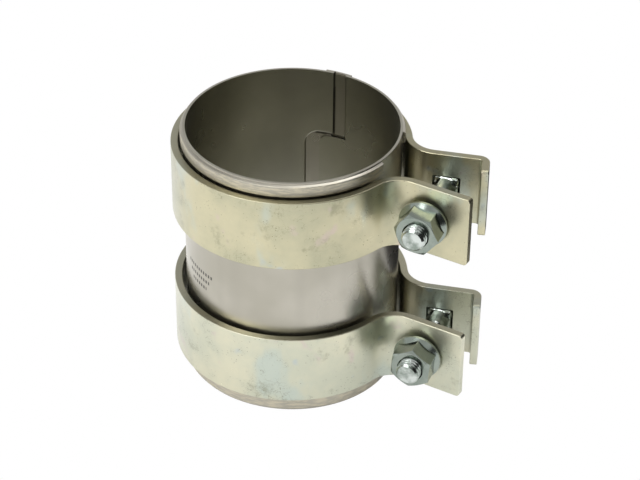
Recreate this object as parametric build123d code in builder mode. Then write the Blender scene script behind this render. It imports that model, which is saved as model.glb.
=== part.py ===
from build123d import *
import os
from math import asin, atan2, cos, degrees, radians, sin, sqrt, tan

# A pipe connector: a sleeve rolled from thin sheet, squeezed onto two pipe ends by two
# bolted band clamps. The sleeve stands on its lower rim with its axis on Z. The ears of
# both clamps point along +X, the nuts face -Y and the bolt heads face +Y.
# All lengths are in millimetres and all angles in degrees.

# Sleeve
BORE_RADIUS = 35.0
SHEET = 0.8
SLEEVE_LENGTH = 90.0
BEAD_WIDTH = 4.9
BEAD_HEIGHT = 0.9
BEAD_FROM_RIM = 2.85
BEAD_SLOPE = 0.7
BEAD_EDGE = 0.3
BEAD_GAP_HALF_ANGLE = 16.0

# Crossed seam on the +Y side of the sleeve. Angles are measured from +X about Z.
# In the two end zones the end of the sheet that comes from -X lies inside. In the middle
# zone it lies outside, and a tongue of the other end lies inside it. The outer layers are
# pressed onto the inner ones, and join them by a slight overlap.
END_STEP_ANGLE = 82.0
END_EDGE_ANGLE = 89.0
END_FREE_ANGLE = 94.0
TONGUE_EDGE_ANGLE = 97.0
POCKET_STEP_ANGLE = 105.0
STEP_LAND = 2.0
STEP_ROUNDING = 0.6
TONGUE_HEIGHT = 39.6
TONGUE_CORNER = 3.5
POCKET_HEIGHT = 41.6
POCKET_CORNER = 5.0
SEAM_SLIT = 0.4
LAYER_OVERLAP = 0.05

# Band clamps
BAND_THICKNESS = 2.5
BAND_WIDTH = 25.0
LOOP_INNER_RADIUS = 37.0
LOOP_CENTRE_X = -0.3
EAR_SPLAY = 9.0
EAR_OFFSET = 2.1
BEND_RADIUS = 10.0
FRONT_EAR_LENGTH = 20.2
REAR_EAR_LENGTH = 14.8
LIP_RADIUS = 2.5
LIP_SWEEP = 85.0
LIP_LENGTH = 5.9
EAR_CORNER = 1.2
BAND_EDGE = 0.3
UPPER_BAND_Z = 59.7
LOWER_BAND_Z = 6.5

# Bolts, size M8, with a cup head and a square neck
BOLT_X = 50.2
BOLT_RADIUS = 4.0
BOLT_HEAD_Y = 13.2
BOLT_END_Y = -24.2
BOLT_END_CHAMFER = 0.7
HEAD_RADIUS = 10.0
HEAD_HEIGHT = 4.9
NECK_SIDE = 8.2
NECK_LENGTH = 5.0
NECK_HOLE_WIDTH = 9.1
NECK_HOLE_HEIGHT = 8.7
NECK_HOLE_CORNER = 0.5
ROUND_HOLE_RADIUS = 4.7

# Flange nuts, size M8
NUT_FACE_Y = -13.0
NUT_HEIGHT = 8.0
NUT_ACROSS_FLATS = 13.0
NUT_BORE_RADIUS = 4.06
NUT_FLANGE_RADIUS = 8.1
NUT_FLANGE_EDGE = 1.1
NUT_CONE_TOP = 2.2
NUT_CROWN_RADIUS = 6.4
NUT_MOUTH_CHAMFER = 0.4
NUT_EDGE = 0.25
UPPER_NUT_TURN = -8.0
LOWER_NUT_TURN = 26.0

# Derived dimensions
SLEEVE_RADIUS = BORE_RADIUS + SHEET
BEAD_RADIUS = SLEEVE_RADIUS + BEAD_HEIGHT
LOOP_RADIUS = LOOP_INNER_RADIUS + BAND_THICKNESS / 2
SEAM_PLANE = Plane(origin=(0, 0, 0), x_dir=(-1, 0, 0), z_dir=(0, 1, 0))


def across(angle):
    """Distance of a seam angle from the middle of the seam plane, towards -X."""
    return -BORE_RADIUS * cos(radians(angle))


def sleeve_seam_layers():
    """The parts of the sheet that are stepped outwards over the other end."""
    end_left = across(END_STEP_ANGLE) - STEP_LAND
    end_middle = across(END_EDGE_ANGLE) + SEAM_SLIT
    end_right = across(END_FREE_ANGLE)
    pocket_left = end_middle + SEAM_SLIT
    pocket_right = across(POCKET_STEP_ANGLE) + STEP_LAND
    middle = SLEEVE_LENGTH / 2
    end_gap = TONGUE_HEIGHT + 2 * SEAM_SLIT
    layer_height = POCKET_HEIGHT + SEAM_SLIT * 3
    with BuildPart() as layers:
        with BuildSketch():
            Circle(SLEEVE_RADIUS + SHEET)
            Circle(SLEEVE_RADIUS - LAYER_OVERLAP, mode=Mode.SUBTRACT)
        extrude(amount=SLEEVE_LENGTH)
        with BuildSketch(SEAM_PLANE):
            # Outer layer of both end zones, cut back round the middle zone.
            with Locations(((end_left + end_right) / 2, middle)):
                Rectangle(end_right - end_left, SLEEVE_LENGTH)
            with Locations(((end_left + end_middle) / 2, middle)):
                Rectangle(end_middle - end_left, end_gap, mode=Mode.SUBTRACT)
            with Locations(((end_middle + end_right) / 2, middle)):
                Rectangle(
                    end_right - end_middle,
                    layer_height + 2 * SEAM_SLIT,
                    mode=Mode.SUBTRACT,
                )
            # Outer layer of the middle zone, with rounded corners towards -X.
            with Locations(((pocket_left + pocket_right) / 2, middle)):
                RectangleRounded(pocket_right - pocket_left, layer_height, POCKET_CORNER)
            with Locations((pocket_left + POCKET_CORNER / 2, middle)):
                Rectangle(POCKET_CORNER, POCKET_HEIGHT)
        extrude(amount=2 * BORE_RADIUS, mode=Mode.INTERSECT)
    return layers


def is_stepped_edge(edge):
    """True for the bore edges where the sheet is pressed outwards, not where it is cut."""
    middle = edge @ 0.5
    turn = degrees(atan2(middle.Y, middle.X))
    reach = sqrt(middle.X**2 + middle.Y**2)
    rise = abs(middle.Z - SLEEVE_LENGTH / 2)
    if abs(reach - BORE_RADIUS) > 0.02:
        return False
    if abs(turn - END_STEP_ANGLE) < 0.2:
        return rise > TONGUE_HEIGHT / 2
    beyond_tongue = rise > TONGUE_HEIGHT / 2 + SEAM_SLIT or turn > TONGUE_EDGE_ANGLE + 1
    return beyond_tongue and END_EDGE_ANGLE + 0.2 < turn < POCKET_STEP_ANGLE + 0.2


seam_layers = sleeve_seam_layers()
bead_turn = radians(BEAD_GAP_HALF_ANGLE)
bead_plane = Plane(
    origin=(0, 0, 0),
    x_dir=(cos(bead_turn), sin(bead_turn), 0),
    z_dir=(sin(bead_turn), -cos(bead_turn), 0),
)

with BuildPart() as sleeve:
    with BuildSketch():
        Circle(SLEEVE_RADIUS)
        Circle(BORE_RADIUS, mode=Mode.SUBTRACT)
    extrude(amount=SLEEVE_LENGTH)
    # Where the sheet steps outwards, the bore wall is open down to the outer layer.
    with BuildSketch(SEAM_PLANE):
        step_left = across(END_STEP_ANGLE)
        step_right = across(END_EDGE_ANGLE)
        with Locations(((step_left + step_right) / 2, SLEEVE_LENGTH / 2)):
            Rectangle(step_right - step_left, SLEEVE_LENGTH)
        pocket_right = across(POCKET_STEP_ANGLE)
        with Locations(((step_left + pocket_right) / 2, SLEEVE_LENGTH / 2)):
            RectangleRounded(pocket_right - step_left, POCKET_HEIGHT, POCKET_CORNER)
        tongue_left = step_left - 2 * TONGUE_CORNER
        tongue_right = across(TONGUE_EDGE_ANGLE)
        with Locations(((tongue_left + tongue_right) / 2, SLEEVE_LENGTH / 2)):
            RectangleRounded(
                tongue_right - tongue_left,
                TONGUE_HEIGHT,
                TONGUE_CORNER,
                mode=Mode.SUBTRACT,
            )
    extrude(amount=2 * BORE_RADIUS, mode=Mode.SUBTRACT)
    fillet(sleeve.edges().filter_by(is_stepped_edge), STEP_ROUNDING)
    add(seam_layers.part)
    # A low, flat-topped bead runs outside each rim, from one side of the ears to the other.
    for bead_z in (BEAD_FROM_RIM, SLEEVE_LENGTH - BEAD_FROM_RIM):
        with BuildSketch(bead_plane) as bead_section:
            with BuildLine():
                Polyline(
                    (BORE_RADIUS + SHEET / 2, bead_z - BEAD_WIDTH / 2),
                    (BEAD_RADIUS, bead_z - BEAD_WIDTH / 2 + BEAD_SLOPE),
                    (BEAD_RADIUS, bead_z + BEAD_WIDTH / 2 - BEAD_SLOPE),
                    (BORE_RADIUS + SHEET / 2, bead_z + BEAD_WIDTH / 2),
                    close=True,
                )
            make_face()
            fillet(bead_section.vertices().sort_by(Axis.X)[-2:], BEAD_EDGE)
        revolve(axis=Axis.Z, revolution_arc=360 - 2 * BEAD_GAP_HALF_ANGLE)
sleeve.part.label = "sleeve"


def band_clamp(band_z):
    """A strip bent to an open loop, with an ear at each end and a lip on the rear ear."""
    reach = LOOP_RADIUS + BEND_RADIUS
    rise = EAR_OFFSET + BEND_RADIUS
    # The bend touches the ear at ear_start along it, and the loop at loop_angle from it.
    ear_start = sqrt(reach**2 - rise**2)
    loop_angle = degrees(asin(rise / reach))
    bend_sweep = 90 - loop_angle
    loop_sweep = 360 - 2 * (loop_angle + EAR_SPLAY)
    along = Vector(cos(radians(EAR_SPLAY)), -sin(radians(EAR_SPLAY)))
    aside = Vector(-sin(radians(EAR_SPLAY)), -cos(radians(EAR_SPLAY)))
    front_root = Vector(LOOP_CENTRE_X, 0) + along * ear_start + aside * EAR_OFFSET
    front_end = front_root + along * FRONT_EAR_LENGTH
    with BuildPart() as band:
        with BuildSketch(Plane.XY.offset(band_z)):
            with BuildLine():
                front_ear = Line(front_end, front_root)
                front_bend = JernArc(
                    front_ear @ 1, front_ear % 1, BEND_RADIUS, bend_sweep
                )
                loop = JernArc(front_bend @ 1, front_bend % 1, LOOP_RADIUS, -loop_sweep)
                rear_bend = JernArc(loop @ 1, loop % 1, BEND_RADIUS, bend_sweep)
                rear_ear = Line(
                    rear_bend @ 1,
                    rear_bend @ 1 + (rear_bend % 1) * REAR_EAR_LENGTH,
                )
                lip_bend = JernArc(rear_ear @ 1, rear_ear % 1, LIP_RADIUS, -LIP_SWEEP)
                Line(lip_bend @ 1, lip_bend @ 1 + (lip_bend % 1) * LIP_LENGTH)
            trace(line_width=BAND_THICKNESS)
        extrude(amount=BAND_WIDTH)
        # Rounded corners at the free ends of the strip.
        end_edges = band.edges().filter_by(
            lambda edge: abs(edge.length - BAND_THICKNESS) < 0.01
        )
        fillet(end_edges, EAR_CORNER)
        fillet(band.faces().filter_by(Axis.Z).edges(), BAND_EDGE)
        # Square-cornered hole for the bolt's neck in the rear ear, round hole in the front.
        hole_plane = Plane.XZ
        hole_at = (BOLT_X, band_z + BAND_WIDTH / 2)
        with BuildSketch(hole_plane):
            with Locations(hole_at):
                RectangleRounded(NECK_HOLE_WIDTH, NECK_HOLE_HEIGHT, NECK_HOLE_CORNER)
        extrude(amount=-BORE_RADIUS, mode=Mode.SUBTRACT)
        with BuildSketch(hole_plane):
            with Locations(hole_at):
                Circle(ROUND_HOLE_RADIUS)
        extrude(amount=BORE_RADIUS, mode=Mode.SUBTRACT)
    return band


upper_band = band_clamp(UPPER_BAND_Z)
upper_band.part.label = "upper_band"
lower_band = band_clamp(LOWER_BAND_Z)
lower_band.part.label = "lower_band"


def neck_bolt(bolt_z):
    """A bolt along Y: cup head at the rear, square neck, round shank to the front."""
    seat = Plane(origin=(BOLT_X, BOLT_HEAD_Y, bolt_z), x_dir=(1, 0, 0), z_dir=(0, -1, 0))
    dome_radius = (HEAD_RADIUS**2 + HEAD_HEIGHT**2) / (2 * HEAD_HEIGHT)
    with BuildPart() as bolt:
        with BuildSketch(seat):
            Circle(BOLT_RADIUS)
        extrude(amount=BOLT_HEAD_Y - BOLT_END_Y)
        chamfer(bolt.faces().sort_by(Axis.Y)[0].edges(), BOLT_END_CHAMFER)
        with BuildSketch(seat):
            RectangleRounded(NECK_SIDE, NECK_SIDE, 0.6)
        extrude(amount=NECK_LENGTH)
        head_side = Plane(
            origin=(BOLT_X, BOLT_HEAD_Y, bolt_z), x_dir=(1, 0, 0), z_dir=(0, 0, 1)
        )
        with BuildSketch(head_side):
            with BuildLine():
                crown_x = dome_radius * sin(asin(HEAD_RADIUS / dome_radius) / 2)
                crown_y = HEAD_HEIGHT - dome_radius + sqrt(dome_radius**2 - crown_x**2)
                dome = ThreePointArc((0, HEAD_HEIGHT), (crown_x, crown_y), (HEAD_RADIUS, 0))
                Polyline(dome @ 1, (0, 0), dome @ 0)
            make_face()
        revolve(axis=Axis((BOLT_X, BOLT_HEAD_Y, bolt_z), (0, 1, 0)))
    return bolt


upper_bolt = neck_bolt(UPPER_BAND_Z + BAND_WIDTH / 2)
upper_bolt.part.label = "upper_bolt"
lower_bolt = neck_bolt(LOWER_BAND_Z + BAND_WIDTH / 2)
lower_bolt.part.label = "lower_bolt"


def flange_nut(nut_z, turn):
    """A hexagon nut with a coned flange that faces the front ear."""
    seat = Plane(origin=(BOLT_X, NUT_FACE_Y, nut_z), x_dir=(1, 0, 0), z_dir=(0, -1, 0))
    section = Plane(origin=(BOLT_X, NUT_FACE_Y, nut_z), x_dir=(1, 0, 0), z_dir=(0, 0, -1))
    spin = Axis((BOLT_X, NUT_FACE_Y, nut_z), (0, 1, 0))
    shoulder = NUT_HEIGHT - (NUT_FLANGE_RADIUS - NUT_CROWN_RADIUS) * tan(radians(30))
    with BuildPart() as nut:
        with BuildSketch(seat):
            RegularPolygon(
                NUT_ACROSS_FLATS / 2, 6, major_radius=False, rotation=turn
            )
        extrude(amount=NUT_HEIGHT)
        # The corners of the hexagon are turned off at 30 degrees.
        with BuildSketch(section):
            with BuildLine():
                Polyline(
                    (0, 0),
                    (NUT_FLANGE_RADIUS, 0),
                    (NUT_FLANGE_RADIUS, shoulder),
                    (NUT_CROWN_RADIUS, NUT_HEIGHT),
                    (0, NUT_HEIGHT),
                    close=True,
                )
            make_face()
        revolve(axis=spin, mode=Mode.INTERSECT)
        fillet(nut.edges().filter_by(Axis.Y), NUT_EDGE)
        with BuildSketch(section):
            with BuildLine():
                Polyline(
                    (0, 0),
                    (NUT_FLANGE_RADIUS - 0.3, 0),
                    (NUT_FLANGE_RADIUS, 0.3),
                    (NUT_FLANGE_RADIUS, NUT_FLANGE_EDGE),
                    (NUT_ACROSS_FLATS / 2, NUT_CONE_TOP),
                    (0, NUT_CONE_TOP),
                    close=True,
                )
            make_face()
        revolve(axis=spin)
        with BuildSketch(seat):
            Circle(NUT_BORE_RADIUS)
        extrude(amount=NUT_HEIGHT, mode=Mode.SUBTRACT)
        mouth = nut.faces().sort_by(Axis.Y)[0].edges().filter_by(GeomType.CIRCLE)
        chamfer(mouth.sort_by(SortBy.RADIUS)[0], NUT_MOUTH_CHAMFER)
    return nut


upper_flange_nut = flange_nut(UPPER_BAND_Z + BAND_WIDTH / 2, UPPER_NUT_TURN)
upper_flange_nut.part.label = "upper_flange_nut"
lower_flange_nut = flange_nut(LOWER_BAND_Z + BAND_WIDTH / 2, LOWER_NUT_TURN)
lower_flange_nut.part.label = "lower_flange_nut"

os.makedirs("parts", exist_ok=True)
export_step(sleeve.part, "parts/sleeve.step")
export_step(upper_band.part, "parts/upper_band.step")
export_step(lower_band.part, "parts/lower_band.step")
export_step(upper_bolt.part, "parts/upper_bolt.step")
export_step(lower_bolt.part, "parts/lower_bolt.step")
export_step(upper_flange_nut.part, "parts/upper_flange_nut.step")
export_step(lower_flange_nut.part, "parts/lower_flange_nut.step")
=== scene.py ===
import bpy
import math
from mathutils import Matrix, Vector


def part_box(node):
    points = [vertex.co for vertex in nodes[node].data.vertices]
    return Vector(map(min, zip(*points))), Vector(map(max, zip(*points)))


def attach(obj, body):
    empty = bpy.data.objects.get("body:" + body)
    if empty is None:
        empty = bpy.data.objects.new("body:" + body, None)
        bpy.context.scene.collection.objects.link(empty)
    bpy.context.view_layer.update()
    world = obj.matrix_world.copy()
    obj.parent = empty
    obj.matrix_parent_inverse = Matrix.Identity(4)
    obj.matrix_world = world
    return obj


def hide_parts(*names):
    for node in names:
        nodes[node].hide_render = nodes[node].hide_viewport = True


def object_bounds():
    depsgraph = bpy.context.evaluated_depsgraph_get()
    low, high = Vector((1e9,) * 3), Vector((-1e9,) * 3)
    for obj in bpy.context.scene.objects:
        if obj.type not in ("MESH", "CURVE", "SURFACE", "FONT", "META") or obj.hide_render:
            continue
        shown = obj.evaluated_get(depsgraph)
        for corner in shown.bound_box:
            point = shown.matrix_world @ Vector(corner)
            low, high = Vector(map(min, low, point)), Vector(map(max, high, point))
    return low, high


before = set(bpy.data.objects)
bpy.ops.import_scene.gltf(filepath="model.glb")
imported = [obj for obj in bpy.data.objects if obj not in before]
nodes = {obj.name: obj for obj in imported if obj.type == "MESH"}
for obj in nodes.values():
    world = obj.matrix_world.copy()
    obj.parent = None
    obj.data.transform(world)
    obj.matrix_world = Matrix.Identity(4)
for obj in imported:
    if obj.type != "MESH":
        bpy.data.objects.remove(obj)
cad_low, cad_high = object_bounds()

MM = 0.001

# ---------------------------------------------------------------- node helpers


class Graph:
    """Adds shader nodes to one material or world and links them by plain calls."""

    def __init__(self, tree):
        self.tree = tree
        self.tree.nodes.clear()

    def node(self, kind, **settings):
        made = self.tree.nodes.new(kind)
        for key, value in settings.items():
            setattr(made, key, value)
        return made

    def put(self, value, socket):
        """Link an output to a socket, or set the socket to a plain value."""
        if isinstance(value, bpy.types.NodeSocket):
            self.tree.links.new(value, socket)
        else:
            socket.default_value = value

    def math(self, operation, a, b=0.0, clamp=False):
        made = self.node("ShaderNodeMath", operation=operation, use_clamp=clamp)
        self.put(a, made.inputs[0])
        self.put(b, made.inputs[1])
        return made.outputs[0]

    def remap(self, value, low, high, to_low, to_high):
        made = self.node("ShaderNodeMapRange", interpolation_type="SMOOTHSTEP")
        self.put(value, made.inputs["Value"])
        self.put(low, made.inputs["From Min"])
        self.put(high, made.inputs["From Max"])
        self.put(to_low, made.inputs["To Min"])
        self.put(to_high, made.inputs["To Max"])
        return made.outputs["Result"]

    def blend(self, factor, a, b, blend_type="MIX"):
        made = self.node("ShaderNodeMix", data_type="RGBA", blend_type=blend_type)
        self.put(factor, made.inputs["Factor"])
        self.put(a, made.inputs["A"])
        self.put(b, made.inputs["B"])
        return made.outputs["Result"]

    def noise(self, vector, scale, detail=3.0, roughness=0.55):
        made = self.node("ShaderNodeTexNoise")
        self.put(vector, made.inputs["Vector"])
        made.inputs["Scale"].default_value = scale
        made.inputs["Detail"].default_value = detail
        made.inputs["Roughness"].default_value = roughness
        return made.outputs["Fac"]

    def cells(self, vector, scale):
        made = self.node("ShaderNodeTexVoronoi", feature="F1")
        self.put(vector, made.inputs["Vector"])
        made.inputs["Scale"].default_value = scale
        return made.outputs["Distance"]

    def place(self):
        """The point in the row frame, in metres."""
        return self.node("ShaderNodeTexCoord").outputs["Object"]

    def stretch(self, vector, x, y, z):
        made = self.node("ShaderNodeMapping")
        self.put(vector, made.inputs["Vector"])
        made.inputs["Scale"].default_value = (x, y, z)
        return made.outputs["Vector"]

    def wrapped(self, vector, radius):
        """Distances round and up a tube's wall in metres, and the point's separate X, Y and Z."""
        split = self.node("ShaderNodeSeparateXYZ")
        self.put(vector, split.inputs[0])
        turn = self.math("ARCTAN2", split.outputs["Y"], split.outputs["X"])
        joined = self.node("ShaderNodeCombineXYZ")
        self.put(self.math("MULTIPLY", turn, radius), joined.inputs["X"])
        self.put(split.outputs["Z"], joined.inputs["Y"])
        return joined.outputs[0], split

    def band(self, value, low, high, edge):
        """1 between low and high, fading to 0 over a short edge on either side."""
        rise = self.remap(value, low - edge, low, 0.0, 1.0)
        fall = self.remap(value, high, high + edge, 1.0, 0.0)
        return self.math("MULTIPLY", rise, fall)

    def both(self, *masks):
        """The product of several masks."""
        joined = masks[0]
        for mask in masks[1:]:
            joined = self.math("MULTIPLY", joined, mask)
        return joined

    def bump(self, height, distance, strength=1.0, normal=None):
        made = self.node("ShaderNodeBump")
        made.inputs["Distance"].default_value = distance
        made.inputs["Strength"].default_value = strength
        self.put(height, made.inputs["Height"])
        if normal is not None:
            self.put(normal, made.inputs["Normal"])
        return made.outputs["Normal"]


def srgb(red, green, blue):
    """A colour given as 0 to 255 display values, turned into linear light."""
    linear = []
    for value in (red, green, blue):
        part = value / 255
        linear.append(part / 12.92 if part <= 0.04045 else ((part + 0.055) / 1.055) ** 2.4)
    return (*linear, 1.0)


def metal_material(name):
    """A new all-metal material, with its graph and its shader node."""
    material = bpy.data.materials.new(name)
    material.use_nodes = True
    graph = Graph(material.node_tree)
    shader = graph.node("ShaderNodeBsdfPrincipled")
    output = graph.node("ShaderNodeOutputMaterial")
    graph.tree.links.new(shader.outputs["BSDF"], output.inputs["Surface"])
    shader.inputs["Metallic"].default_value = 1.0
    return material, graph, shader


# ------------------------------------------------------------------- materials

WALL_MIDDLE = 35.4 * MM
WALL_BLEND = 0.2 * MM
LAYER_FACE = 36.4 * MM
LAYER_BLEND = 0.1 * MM
SEAM_EDGE_X = 0.61 * MM
TONGUE_TOP = 64.8 * MM
TONGUE_LOW = 25.2 * MM
MARK_TURN = math.radians(-127)
MARK_REACH = math.radians(12)
MARK_NARROWING = math.radians(2.5)
MARK_HALF_HEIGHT = 0.55 * MM
MARK_ROWS = (45.2 * MM, 42.4 * MM, 39.6 * MM)
DASHES_PER_RADIAN = 26.0
BEAD_FOOT = 36.2 * MM
BEAD_BLEND = 0.3 * MM
BEAD_INNER = 39.4 * MM
SLEEVE_MIDDLE = 45.0 * MM
# Span in X of the painted greyer reflection on the bands' -X side.
GREY_SIDE = -38 * MM
GREY_SIDE_END = -18 * MM


def lap_shadows(graph, split, reach):
    """Painted shadow in the creases inside the sleeve where one end of the sheet lies on the
    other.
    """
    under_layer = graph.remap(
        reach, LAYER_FACE - LAYER_BLEND, LAYER_FACE + LAYER_BLEND, 1.0, 0.0
    )
    rear = graph.remap(split.outputs["Y"], 20 * MM, 24 * MM, 0.0, 1.0)
    across, height = split.outputs["X"], split.outputs["Z"]
    above = graph.remap(height, TONGUE_TOP + 0.4 * MM, TONGUE_TOP + 1.0 * MM, 0.0, 1.0)
    below = graph.remap(height, TONGUE_LOW - 1.0 * MM, TONGUE_LOW - 0.4 * MM, 1.0, 0.0)
    upright = graph.band(across, SEAM_EDGE_X + 0.05 * MM, SEAM_EDGE_X + 0.4 * MM, 0.25 * MM)
    upright = graph.both(upright, graph.math("ADD", above, below))
    level = graph.band(across, SEAM_EDGE_X - 6 * MM, SEAM_EDGE_X + 4.2 * MM, 1.2 * MM)
    top = graph.band(height, TONGUE_TOP + 0.1 * MM, TONGUE_TOP + 0.6 * MM, 0.3 * MM)
    low = graph.band(height, TONGUE_LOW - 0.6 * MM, TONGUE_LOW - 0.1 * MM, 0.3 * MM)
    level = graph.both(level, graph.math("ADD", top, low))
    return graph.both(under_layer, rear, graph.math("MAXIMUM", upright, level))


def ink_marks(graph, split, reach):
    """Three short rows of plain even dashes, low on the -X front of the sleeve."""
    turn = graph.math("ARCTAN2", split.outputs["Y"], split.outputs["X"])
    height = split.outputs["Z"]
    outside = graph.remap(reach, 35.5 * MM, 35.7 * MM, 0.0, 1.0)
    rows = None
    for number, row_height in enumerate(MARK_ROWS):
        span = MARK_REACH - MARK_NARROWING * number
        row = graph.both(
            graph.band(turn, MARK_TURN - span, MARK_TURN + span, 0.002),
            graph.band(
                height,
                row_height - MARK_HALF_HEIGHT,
                row_height + MARK_HALF_HEIGHT,
                0.12 * MM,
            ),
        )
        rows = row if rows is None else graph.math("ADD", rows, row)
    dash = graph.math("FRACT", graph.math("MULTIPLY", turn, DASHES_PER_RADIAN))
    broken = graph.band(dash, 0.25, 0.75, 0.08)
    return graph.both(outside, rows, broken)


def stainless(name):
    """Rolled stainless sheet: long soft bends up the wall, a fine grain and faint stains."""
    material, graph, shader = metal_material(name)
    place = graph.place()
    wall, split = graph.wrapped(place, WALL_MIDDLE)
    reach = graph.math(
        "SQRT",
        graph.math(
            "ADD",
            graph.math("MULTIPLY", split.outputs["X"], split.outputs["X"]),
            graph.math("MULTIPLY", split.outputs["Y"], split.outputs["Y"]),
        ),
    )
    outside = graph.remap(reach, WALL_MIDDLE - WALL_BLEND, WALL_MIDDLE + WALL_BLEND, 0.0, 1.0)
    grain = graph.noise(graph.stretch(wall, 90, 1500, 1), 1.0, 3.0, 0.5)
    streak = graph.noise(graph.stretch(wall, 120, 3, 1), 1.0, 1.0)
    stain = graph.noise(place, 38, 3.0, 0.5)
    speck = graph.cells(place, 700)
    stained = graph.remap(stain, 0.35, 0.7, 0.0, 1.0)
    outer_colour = graph.blend(stained, srgb(184, 180, 169), srgb(172, 168, 156))
    inner_colour = graph.blend(stained, srgb(181, 179, 165), srgb(166, 164, 149))
    colour = graph.blend(outside, inner_colour, outer_colour)
    colour = graph.blend(graph.remap(streak, 0.45, 0.7, 0.0, 0.22), colour, srgb(160, 156, 146))
    speckled = graph.both(graph.remap(speck, 0.0, 0.07, 0.3, 0.0), outside)
    colour = graph.blend(speckled, colour, srgb(70, 66, 60))
    # Painted shadow: the lap creases are blended toward near-black.
    shadow = graph.math("MULTIPLY", lap_shadows(graph, split, reach), 0.75)
    colour = graph.blend(shadow, colour, srgb(34, 32, 26))
    ink = graph.math("MULTIPLY", ink_marks(graph, split, reach), 0.75)
    colour = graph.blend(ink, colour, srgb(52, 52, 56))
    from_middle = graph.math(
        "ABSOLUTE", graph.math("SUBTRACT", split.outputs["Z"], SLEEVE_MIDDLE)
    )
    on_bead = graph.both(
        graph.remap(reach, BEAD_FOOT, BEAD_FOOT + BEAD_BLEND, 0.0, 1.0),
        graph.remap(from_middle, BEAD_INNER, BEAD_INNER + BEAD_BLEND, 0.0, 1.0),
    )
    worn = graph.remap(graph.noise(graph.stretch(wall, 260, 1300, 1), 1.0), 0.4, 0.62, 0.1, 0.7)
    colour = graph.blend(graph.both(on_bead, worn), colour, srgb(214, 206, 184))
    graph.put(colour, shader.inputs["Base Color"])
    rough = graph.remap(stain, 0.35, 0.7, 0.27, 0.33)
    rough = graph.math("ADD", rough, graph.math("MULTIPLY", on_bead, 0.14))
    rough = graph.math("ADD", rough, graph.math("MULTIPLY", ink, 0.3))
    graph.put(rough, shader.inputs["Roughness"])
    normal = graph.bump(streak, 0.25 * MM, 0.5)
    normal = graph.bump(grain, 0.002 * MM, 0.15, normal)
    graph.put(normal, shader.inputs["Normal"])
    return material


def passivated(name, warm, cool, depth):
    """Zinc plating with a straw passivation: cloudy tints, film colours, pits and rubs, with
    painted reflections: a greyer -X side and darker edge faces.
    """
    material, graph, shader = metal_material(name)
    place = graph.place()
    cloud = graph.noise(place, 38, 4.0, 0.6)
    patch = graph.noise(graph.stretch(place, 1, 1, 0.6), 70, 3.0, 0.5)
    film = graph.noise(place, 120, 2.0, 0.5)
    fine = graph.noise(place, 2600, 2.0, 0.6)
    colour = graph.blend(graph.remap(cloud, 0.36, 0.64, 0.0, 1.0), warm, cool)
    colour = graph.blend(
        graph.remap(patch, 0.56, 0.7, 0.0, 0.55), colour, srgb(186, 200, 196)
    )
    colour = graph.blend(
        graph.remap(film, 0.64, 0.76, 0.0, 0.45), colour, srgb(206, 184, 186)
    )
    colour = graph.blend(
        graph.remap(film, 0.22, 0.32, 0.4, 0.0), colour, srgb(168, 186, 206)
    )
    worn = graph.remap(graph.noise(place, 75, 3.0, 0.6), 0.5, 0.62, 0.0, 1.0)
    for scale, width in ((190, 0.006), (330, 0.008)):
        path = graph.noise(place, scale, 2.0, 0.6)
        away = graph.math("ABSOLUTE", graph.math("SUBTRACT", path, 0.5))
        scratch = graph.both(graph.remap(away, 0.0, width, depth, 0.0), worn)
        colour = graph.blend(scratch, colour, srgb(118, 113, 92))
    pit = graph.cells(place, 900)
    spotted = graph.remap(graph.noise(place, 160, 1.0), 0.5, 0.62, 0.0, 1.0)
    pits = graph.math("MULTIPLY", graph.remap(pit, 0.06, 0.17, 1.0, 0.0), spotted)
    colour = graph.blend(graph.math("MULTIPLY", pits, 0.8), colour, srgb(96, 90, 70))
    grime = graph.noise(place, 95, 5.0, 0.7)
    colour = graph.blend(graph.remap(grime, 0.56, 0.7, 0.0, 0.5), colour, srgb(142, 139, 116))
    split = graph.node("ShaderNodeSeparateXYZ")
    graph.put(place, split.inputs[0])
    # Painted reflection: the -X side of the band is tinted greyer and cooler.
    side_reflection_tint = graph.remap(split.outputs["X"], GREY_SIDE, GREY_SIDE_END, 0.55, 0.0)
    colour = graph.blend(side_reflection_tint, colour, srgb(190, 194, 186))
    # Painted reflection: faces that look up or down, such as the band's edge faces, are darkened
    # in place of a dark horizon reflected in them.
    facing = graph.node("ShaderNodeSeparateXYZ")
    graph.put(graph.node("ShaderNodeNewGeometry").outputs["Normal"], facing.inputs[0])
    edge_face_dark_reflection = graph.remap(graph.math("ABSOLUTE", facing.outputs["Z"]), 0.55, 0.9, 0.0, 0.6)
    colour = graph.blend(edge_face_dark_reflection, colour, srgb(150, 145, 120))
    graph.put(colour, shader.inputs["Base Color"])
    rough = graph.remap(cloud, 0.3, 0.7, 0.3, 0.4)
    rough = graph.math("ADD", rough, graph.remap(fine, 0.3, 0.7, -0.04, 0.05))
    graph.put(rough, shader.inputs["Roughness"])
    wave = graph.noise(place, 55, 2.0)
    normal = graph.bump(wave, 0.5 * MM, 0.35)
    normal = graph.bump(fine, 0.008 * MM, 0.6, normal)
    normal = graph.bump(pits, -0.02 * MM, 0.8, normal)
    graph.put(normal, shader.inputs["Normal"])
    return material


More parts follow.
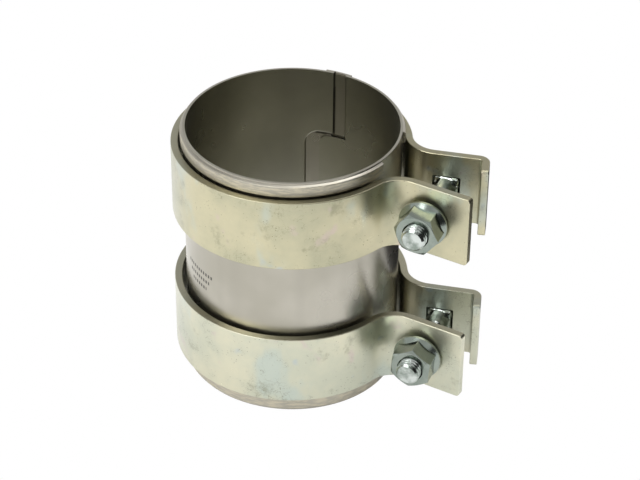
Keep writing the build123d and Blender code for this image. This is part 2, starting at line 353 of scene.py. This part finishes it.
def bright_zinc(name, tint):
    """Bright zinc plating on forged and turned faces, clouded by a duller grey-green."""
    material, graph, shader = metal_material(name)
    place = graph.place()
    cloud = graph.noise(place, 230, 3.0, 0.6)
    fine = graph.noise(place, 3800, 2.0, 0.6)
    colour = graph.blend(graph.remap(cloud, 0.35, 0.65, 0.0, 1.0), tint, srgb(138, 148, 140))
    colour = graph.blend(
        graph.remap(graph.cells(place, 1300), 0.05, 0.14, 0.4, 0.0), colour, srgb(90, 96, 98)
    )
    graph.put(colour, shader.inputs["Base Color"])
    graph.put(graph.remap(cloud, 0.3, 0.7, 0.13, 0.23), shader.inputs["Roughness"])
    normal = graph.bump(cloud, 0.05 * MM, 0.5)
    normal = graph.bump(fine, 0.006 * MM, 0.5, normal)
    graph.put(normal, shader.inputs["Normal"])
    return material


def dress(node_name, material):
    """Give a CAD node one material in place of its own."""
    mesh = nodes[node_name].data
    mesh.materials.clear()
    mesh.materials.append(material)


sleeve_metal = stainless("rolled_stainless")
upper_zinc = passivated("straw_zinc_upper", srgb(201, 195, 165), srgb(183, 181, 155), 0.6)
lower_zinc = passivated("straw_zinc_lower", srgb(216, 213, 190), srgb(200, 202, 184), 0.6)
nut_zinc = bright_zinc("bright_zinc_nut", srgb(148, 156, 148))
bolt_zinc = bright_zinc("bright_zinc_bolt", srgb(206, 212, 208))
dress("sleeve", sleeve_metal)
dress("upper_band", upper_zinc)
dress("lower_band", lower_zinc)
dress("upper_flange_nut", nut_zinc)
dress("lower_flange_nut", nut_zinc)

# ---------------------------------------------------------------- threaded bolts

SEGMENTS = 96
HEAD_HEIGHT = 4.9 * MM
HEAD_RADIUS = 10.0 * MM
HEAD_RINGS = 10
NECK_HALF = 4.1 * MM
NECK_CORNER = 0.6 * MM
NECK_LENGTH = 5.0 * MM
SHANK_RADIUS = 4.0 * MM
THREAD_PITCH = 1.25 * MM
THREAD_DEPTH = 0.62 * MM
THREAD_LENGTH = 27.0 * MM
THREAD_ROWS = 12
END_CHAMFER = 0.8 * MM


def square_reach(turn):
    """Distance from the axis to a square neck with rounded corners, at that angle."""
    along, aside = abs(math.cos(turn)), abs(math.sin(turn))
    flat = NECK_HALF / max(along, aside)
    centre = NECK_HALF - NECK_CORNER
    if flat * min(along, aside) <= centre:
        return flat
    middle = centre * (along + aside)
    return middle + math.sqrt(middle**2 - 2 * centre**2 + NECK_CORNER**2)


def thread_reach(along, turn):
    """Radius of a right-hand thread at a distance from the bolt's end."""
    phase = (along / THREAD_PITCH + turn / (2 * math.pi)) % 1.0
    slope = min(max((abs(phase - 0.5) * 2 - 0.14) / 0.66, 0.0), 1.0)
    depth = THREAD_DEPTH * slope
    chamfer = max(END_CHAMFER - along, 0.0)
    fade = min(max((THREAD_LENGTH - along) / (2 * THREAD_PITCH), 0.0), 1.0)
    return min(SHANK_RADIUS - depth * fade, SHANK_RADIUS - chamfer)


def ring(axis_x, axis_z, y, reach):
    """One ring of points round the bolt's axis; reach gives the radius at an angle."""
    points = []
    for step in range(SEGMENTS):
        turn = 2 * math.pi * step / SEGMENTS
        radius = reach(turn)
        points.append((axis_x + radius * math.cos(turn), y, axis_z + radius * math.sin(turn)))
    return points


def loft(name, rings, first_pole, last_pole):
    """A closed skin over a stack of rings, with a point at each end."""
    points = [first_pole] + [point for row in rings for point in row] + [last_pole]
    faces = []
    last = len(points) - 1
    for step in range(SEGMENTS):
        after = (step + 1) % SEGMENTS
        faces.append((0, 1 + after, 1 + step))
        base = 1 + (len(rings) - 1) * SEGMENTS
        faces.append((last, base + step, base + after))
    for row in range(len(rings) - 1):
        low = 1 + row * SEGMENTS
        high = low + SEGMENTS
        for step in range(SEGMENTS):
            after = (step + 1) % SEGMENTS
            faces.append((low + step, low + after, high + after, high + step))
    mesh = bpy.data.meshes.new(name)
    mesh.from_pydata(points, [], faces)
    mesh.update()
    mesh.shade_smooth()
    mesh.set_sharp_from_angle(angle=math.radians(38))
    made = bpy.data.objects.new(name, mesh)
    bpy.context.scene.collection.objects.link(made)
    return made


def threaded_bolt(node, body):
    low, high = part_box(node)
    axis_x = (low.x + high.x) / 2
    axis_z = (low.z + high.z) / 2
    end_y = low.y
    seat_y = high.y - HEAD_HEIGHT
    dome = (HEAD_RADIUS**2 + HEAD_HEIGHT**2) / (2 * HEAD_HEIGHT)
    rings = []
    for step in range(1, HEAD_RINGS + 1):
        radius = HEAD_RADIUS * step / HEAD_RINGS
        y = high.y - dome + math.sqrt(dome**2 - radius**2)
        rings.append(ring(axis_x, axis_z, y, lambda turn, r=radius: r))
    rings.append(ring(axis_x, axis_z, seat_y, lambda turn: HEAD_RADIUS - 0.3 * MM))
    rings.append(ring(axis_x, axis_z, seat_y, square_reach))
    rings.append(ring(axis_x, axis_z, seat_y - NECK_LENGTH + 0.4 * MM, square_reach))
    rings.append(
        ring(axis_x, axis_z, seat_y - NECK_LENGTH, lambda turn: square_reach(turn) - 0.35 * MM)
    )
    rings.append(
        ring(axis_x, axis_z, seat_y - NECK_LENGTH - 0.05 * MM, lambda turn: SHANK_RADIUS)
    )
    rows = int(THREAD_LENGTH / THREAD_PITCH * THREAD_ROWS)
    for row in range(rows, -1, -1):
        along = THREAD_LENGTH * row / rows
        rings.append(
            ring(axis_x, axis_z, end_y + along, lambda turn, a=along: thread_reach(a, turn))
        )
    rings.append(ring(axis_x, axis_z, end_y, lambda turn: SHANK_RADIUS - END_CHAMFER - 0.25 * MM))
    made = loft(
        node + "_threaded",
        rings,
        (axis_x, high.y, axis_z),
        (axis_x, end_y, axis_z),
    )
    made.data.materials.append(bolt_zinc)
    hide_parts(node)
    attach(made, body)
    return made


threaded_bolt("upper_bolt", "upper_bolt")
threaded_bolt("lower_bolt", "lower_bolt")

# ------------------------------------------------------------ floor, light, camera


def staged_sheet(name, corners, colour):
    """A flat sheet that belongs to the studio, with its own dull material."""
    mesh = bpy.data.meshes.new(name)
    mesh.from_pydata(corners, [], [(0, 1, 2, 3)])
    material = bpy.data.materials.new(name)
    material.use_nodes = True
    mesh.materials.append(material)
    made = bpy.data.objects.new(name, mesh)
    bpy.context.scene.collection.objects.link(made)
    graph = Graph(material.node_tree)
    dull = graph.node("ShaderNodeBsdfDiffuse")
    dull.inputs["Color"].default_value = colour
    output = graph.node("ShaderNodeOutputMaterial")
    graph.tree.links.new(dull.outputs[0], output.inputs["Surface"])
    return made, graph, dull, output


def plain_floor():
    """A pale floor that the camera sees as even white, as under an overlit table."""
    low = cad_low.z - 0.15 * MM
    size = 6.0
    corners = [(-size, -size, low), (size, -size, low), (size, size, low), (-size, size, low)]
    made, graph, dull, output = staged_sheet("floor", corners, (0.85, 0.85, 0.85, 1))
    white = graph.node("ShaderNodeEmission")
    white.inputs["Color"].default_value = (1, 1, 1, 1)
    white.inputs["Strength"].default_value = 1.0
    glow = graph.node("ShaderNodeEmission")
    glow.inputs["Color"].default_value = (1, 1, 1, 1)
    glow.inputs["Strength"].default_value = 0.28
    lit = graph.node("ShaderNodeAddShader")
    graph.tree.links.new(dull.outputs[0], lit.inputs[0])
    graph.tree.links.new(glow.outputs[0], lit.inputs[1])
    seen = graph.node("ShaderNodeLightPath").outputs["Is Camera Ray"]
    mixed = graph.node("ShaderNodeMixShader")
    graph.tree.links.new(seen, mixed.inputs[0])
    graph.tree.links.new(lit.outputs[0], mixed.inputs[1])
    graph.tree.links.new(white.outputs[0], mixed.inputs[2])
    graph.tree.links.new(mixed.outputs[0], output.inputs["Surface"])


def dark_card(name, corners):
    """A black card that only shows in reflections, to give the bright metal some contrast."""
    made = staged_sheet(name, corners, (0.02, 0.02, 0.02, 1))[0]
    made.visible_camera = False
    made.visible_diffuse = False
    made.visible_shadow = False


def dark_cards():
    """One card stands beyond the ears, and one lies behind the ears."""
    low = cad_low.z
    beside, half, top = 0.22, 0.3, 0.26
    dark_card(
        "card_beside",
        [
            (beside, -half, low),
            (beside, half, low),
            (beside, half, low + top),
            (beside, -half, low + top),
        ],
    )
    near, far, left, right = 0.05, 0.5, 0.01, 0.3
    dark_card(
        "card_behind",
        [(left, near, low), (right, near, low), (right, far, low), (left, far, low)],
    )


def studio_air():
    """Soft white surroundings with a darker ceiling and two dark upright gaps."""
    world = bpy.data.worlds.new("studio")
    world.use_nodes = True
    bpy.context.scene.world = world
    graph = Graph(world.node_tree)
    split = graph.node("ShaderNodeSeparateXYZ")
    direction = graph.node("ShaderNodeTexCoord").outputs["Generated"]
    graph.put(direction, split.inputs[0])
    level = graph.remap(split.outputs["Z"], 0.1, 0.9, 0.92, 0.38)
    turn = graph.math("ARCTAN2", split.outputs["Y"], split.outputs["X"])
    for centre, half, depth in ((-0.15, 0.9, 0.85), (-2.9, 0.3, 0.4)):
        away = graph.math("ABSOLUTE", graph.math("SUBTRACT", turn, centre))
        gap = graph.remap(away, half * 0.45, half, 1.0 - depth, 1.0)
        level = graph.math("MULTIPLY", level, gap)
    background = graph.node("ShaderNodeBackground")
    background.inputs["Color"].default_value = (1, 1, 1, 1)
    graph.put(level, background.inputs["Strength"])
    output = graph.node("ShaderNodeOutputWorld")
    graph.tree.links.new(background.outputs[0], output.inputs["Surface"])


def soft_light(name, azimuth, elevation, distance, size, power):
    """A large square light aimed at the object; azimuth 0 is on the -Y side."""
    centre = (cad_low + cad_high) / 2
    turn, rise = math.radians(azimuth), math.radians(elevation)
    away = Vector(
        (math.sin(turn) * math.cos(rise), -math.cos(turn) * math.cos(rise), math.sin(rise))
    )
    data = bpy.data.lights.new(name, "AREA")
    data.shape = "SQUARE"
    data.size = size
    data.energy = power
    made = bpy.data.objects.new(name, data)
    made.location = centre + away * distance
    made.rotation_mode = "QUATERNION"
    made.rotation_quaternion = (-away).to_track_quat("-Z", "Y")
    bpy.context.scene.collection.objects.link(made)


def studio_camera():
    """The main view: from the nut side, turned to the right and looking down."""
    azimuth = math.radians(21.2)
    elevation = math.radians(34.7)
    roll = math.radians(0.65)
    distance = 0.725
    aim_right = 9.27 * MM
    aim_height = 44.14 * MM
    back = Vector(
        (
            math.sin(azimuth) * math.cos(elevation),
            -math.cos(azimuth) * math.cos(elevation),
            math.sin(elevation),
        )
    )
    right = Vector((math.cos(azimuth), math.sin(azimuth), 0))
    up = back.cross(right)
    side = right * math.cos(roll) + up * math.sin(roll)
    top = up * math.cos(roll) - right * math.sin(roll)
    data = bpy.data.cameras.new("camera")
    data.sensor_width = 36.0
    data.lens = 121.3
    data.clip_start = 0.01
    data.clip_end = 50.0
    made = bpy.data.objects.new("camera", data)
    turned = Matrix((side, top, back)).transposed().to_4x4()
    turned.translation = right * aim_right + Vector((0, 0, aim_height)) + back * distance
    made.matrix_world = turned
    bpy.context.scene.collection.objects.link(made)
    bpy.context.scene.camera = made


plain_floor()
dark_cards()
studio_air()
soft_light("key", -30, 50, 1.4, 0.9, 10.5)
soft_light("top", 140, 75, 1.4, 0.9, 6.5)
studio_camera()
bpy.context.scene.view_settings.view_transform = "Standard"
